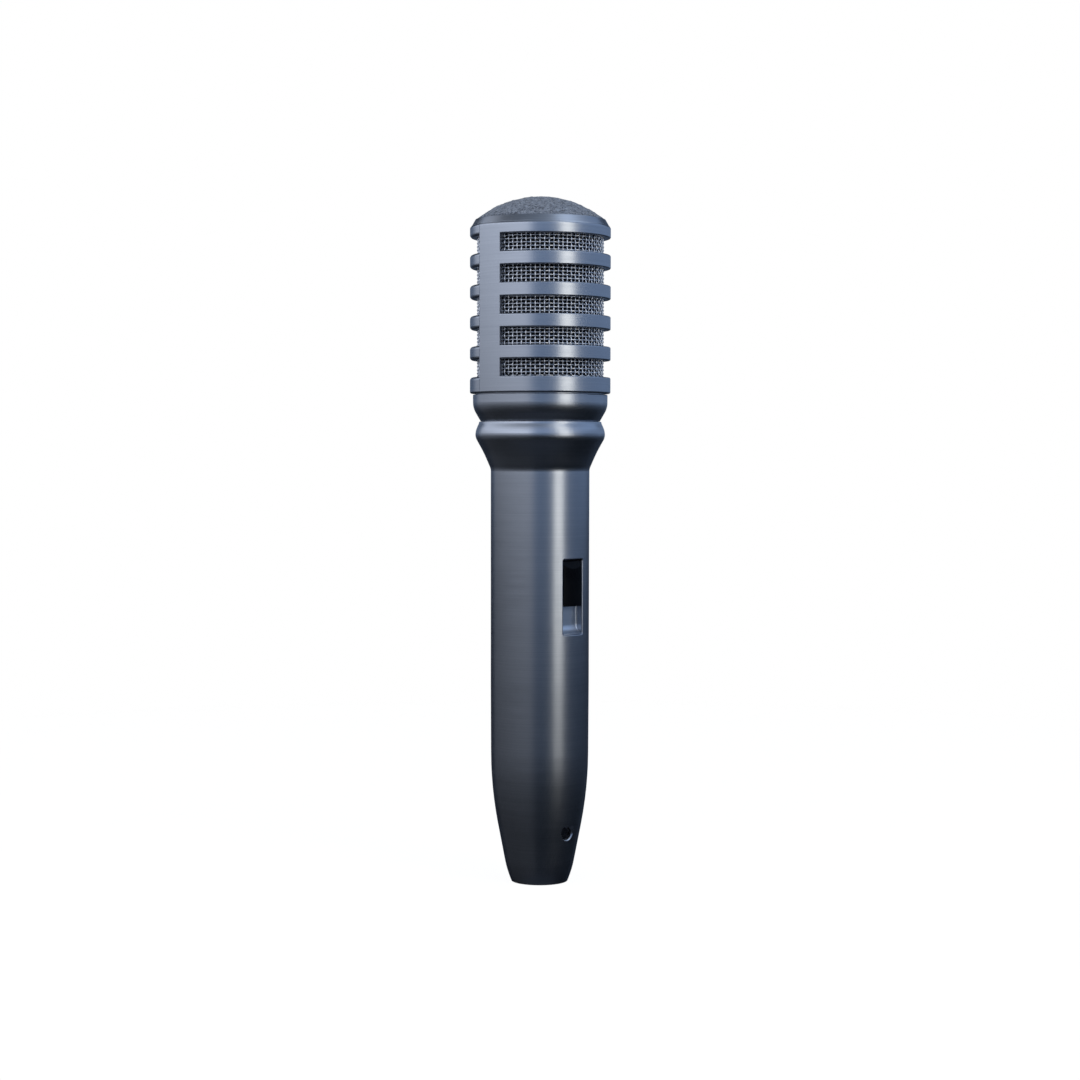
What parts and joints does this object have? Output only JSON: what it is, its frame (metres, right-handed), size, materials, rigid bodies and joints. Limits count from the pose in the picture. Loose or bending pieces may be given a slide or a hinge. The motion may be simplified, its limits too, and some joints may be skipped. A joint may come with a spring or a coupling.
{
  "type": "dynamic microphone",
  "caption": "Hand-held dynamic microphone with a slotted cylindrical head over woven mesh, a foam dome, a thumb slide switch and a pin connector in its base.",
  "frame": {"origin": "centre of the connector rim, at the lower end of the axis", "axes": "+Z along the axis from the connector to the top of the head; the slide switch faces -Y; the posts of the grille stand at +X and -X"},
  "size_m": [0.041, 0.041, 0.2],
  "materials": {
    "body_metal": "brushed gunmetal blue-grey anodising",
    "mesh_wire": "bright woven wire",
    "grey_foam": "grey open-cell foam",
    "dark_foam": "black open-cell foam",
    "gloss_black": "glossy black",
    "black_plastic": "moulded black",
    "white_plastic": "natural nylon",
    "plated_contact": "silver plated",
    "brass": "plain",
    "copper": "enamelled wire",
    "steel": "plain",
    "dark_steel": "blackened",
    "lamination_steel": "stacked laminations",
    "capsule_metal": "plain turned",
    "magnet_alloy": "ground",
    "rubber": "matt",
    "felt": "felt",
    "clear_film": "thin film",
    "red_insulation": "wire insulation"
  },
  "bodies": {
    "handle": {"handle_shell": "body_metal", "connector_insulator": "black_plastic", "contact_pin_1": "plated_contact", "contact_pin_2": "plated_contact", "contact_pin_3": "plated_contact", "ground_tag": "brass", "connector_screw": "dark_steel", "transformer_can": "steel", "transformer_core": "lamination_steel", "transformer_bobbin": "white_plastic", "transformer_winding": "copper", "transformer_pads": "rubber", "switch_plate": "body_metal", "switch_housing": "black_plastic", "switch_lugs": "brass", "switch_screws": "steel", "capsule_carrier": "brass", "shock_mount": "rubber", "rear_chamber": "white_plastic", "capsule_terminals": "brass", "capsule_housing": "capsule_metal", "magnet_cup": "steel", "front_plate": "steel", "magnet": "magnet_alloy", "pole_piece": "steel", "damping_felt": "felt", "resonator_cap": "black_plastic", "capsule_leads": "red_insulation", "transformer_leads": "red_insulation", "output_leads": "red_insulation"},
    "button": {"switch_button": "gloss_black", "switch_slider": "white_plastic", "contact_bridge": "brass"},
    "seal": {"neck_seal": "rubber"},
    "head": {"neck_collar": "body_metal", "grille_housing": "body_metal", "side_mesh": "mesh_wire", "foam_liner": "dark_foam", "top_ring": "body_metal", "dome_foam": "grey_foam", "dome_screen": "steel"},
    "moving_coil": {"diaphragm": "clear_film", "voice_coil": "copper"}
  },
  "joints": [
    {"name": "switch_slide", "type": "slide", "parent": "handle", "child": "button", "axis": [0, 0, -1], "range_m": [0, 0.005]},
    {"name": "head_lift", "type": "slide", "parent": "handle", "child": "seal", "axis": [0, 0, 1], "range_m": [0, 0.00401]},
    {"name": "head_turn", "type": "hinge", "parent": "seal", "child": "head", "pos_m": [0, 0, 0.135], "axis": [0, 0, 1], "range_deg": [0, 1440]},
    {"name": "diaphragm_travel", "type": "slide", "parent": "handle", "child": "moving_coil", "axis": [0, 0, 1], "range_m": [-0.0003, 0.0003], "stiffness_N_per_m": 200}
  ],
  "couplings": [
    {"joint": "head_lift", "follows": "head_turn", "m_per_rad": 0.00015915}
  ]
}
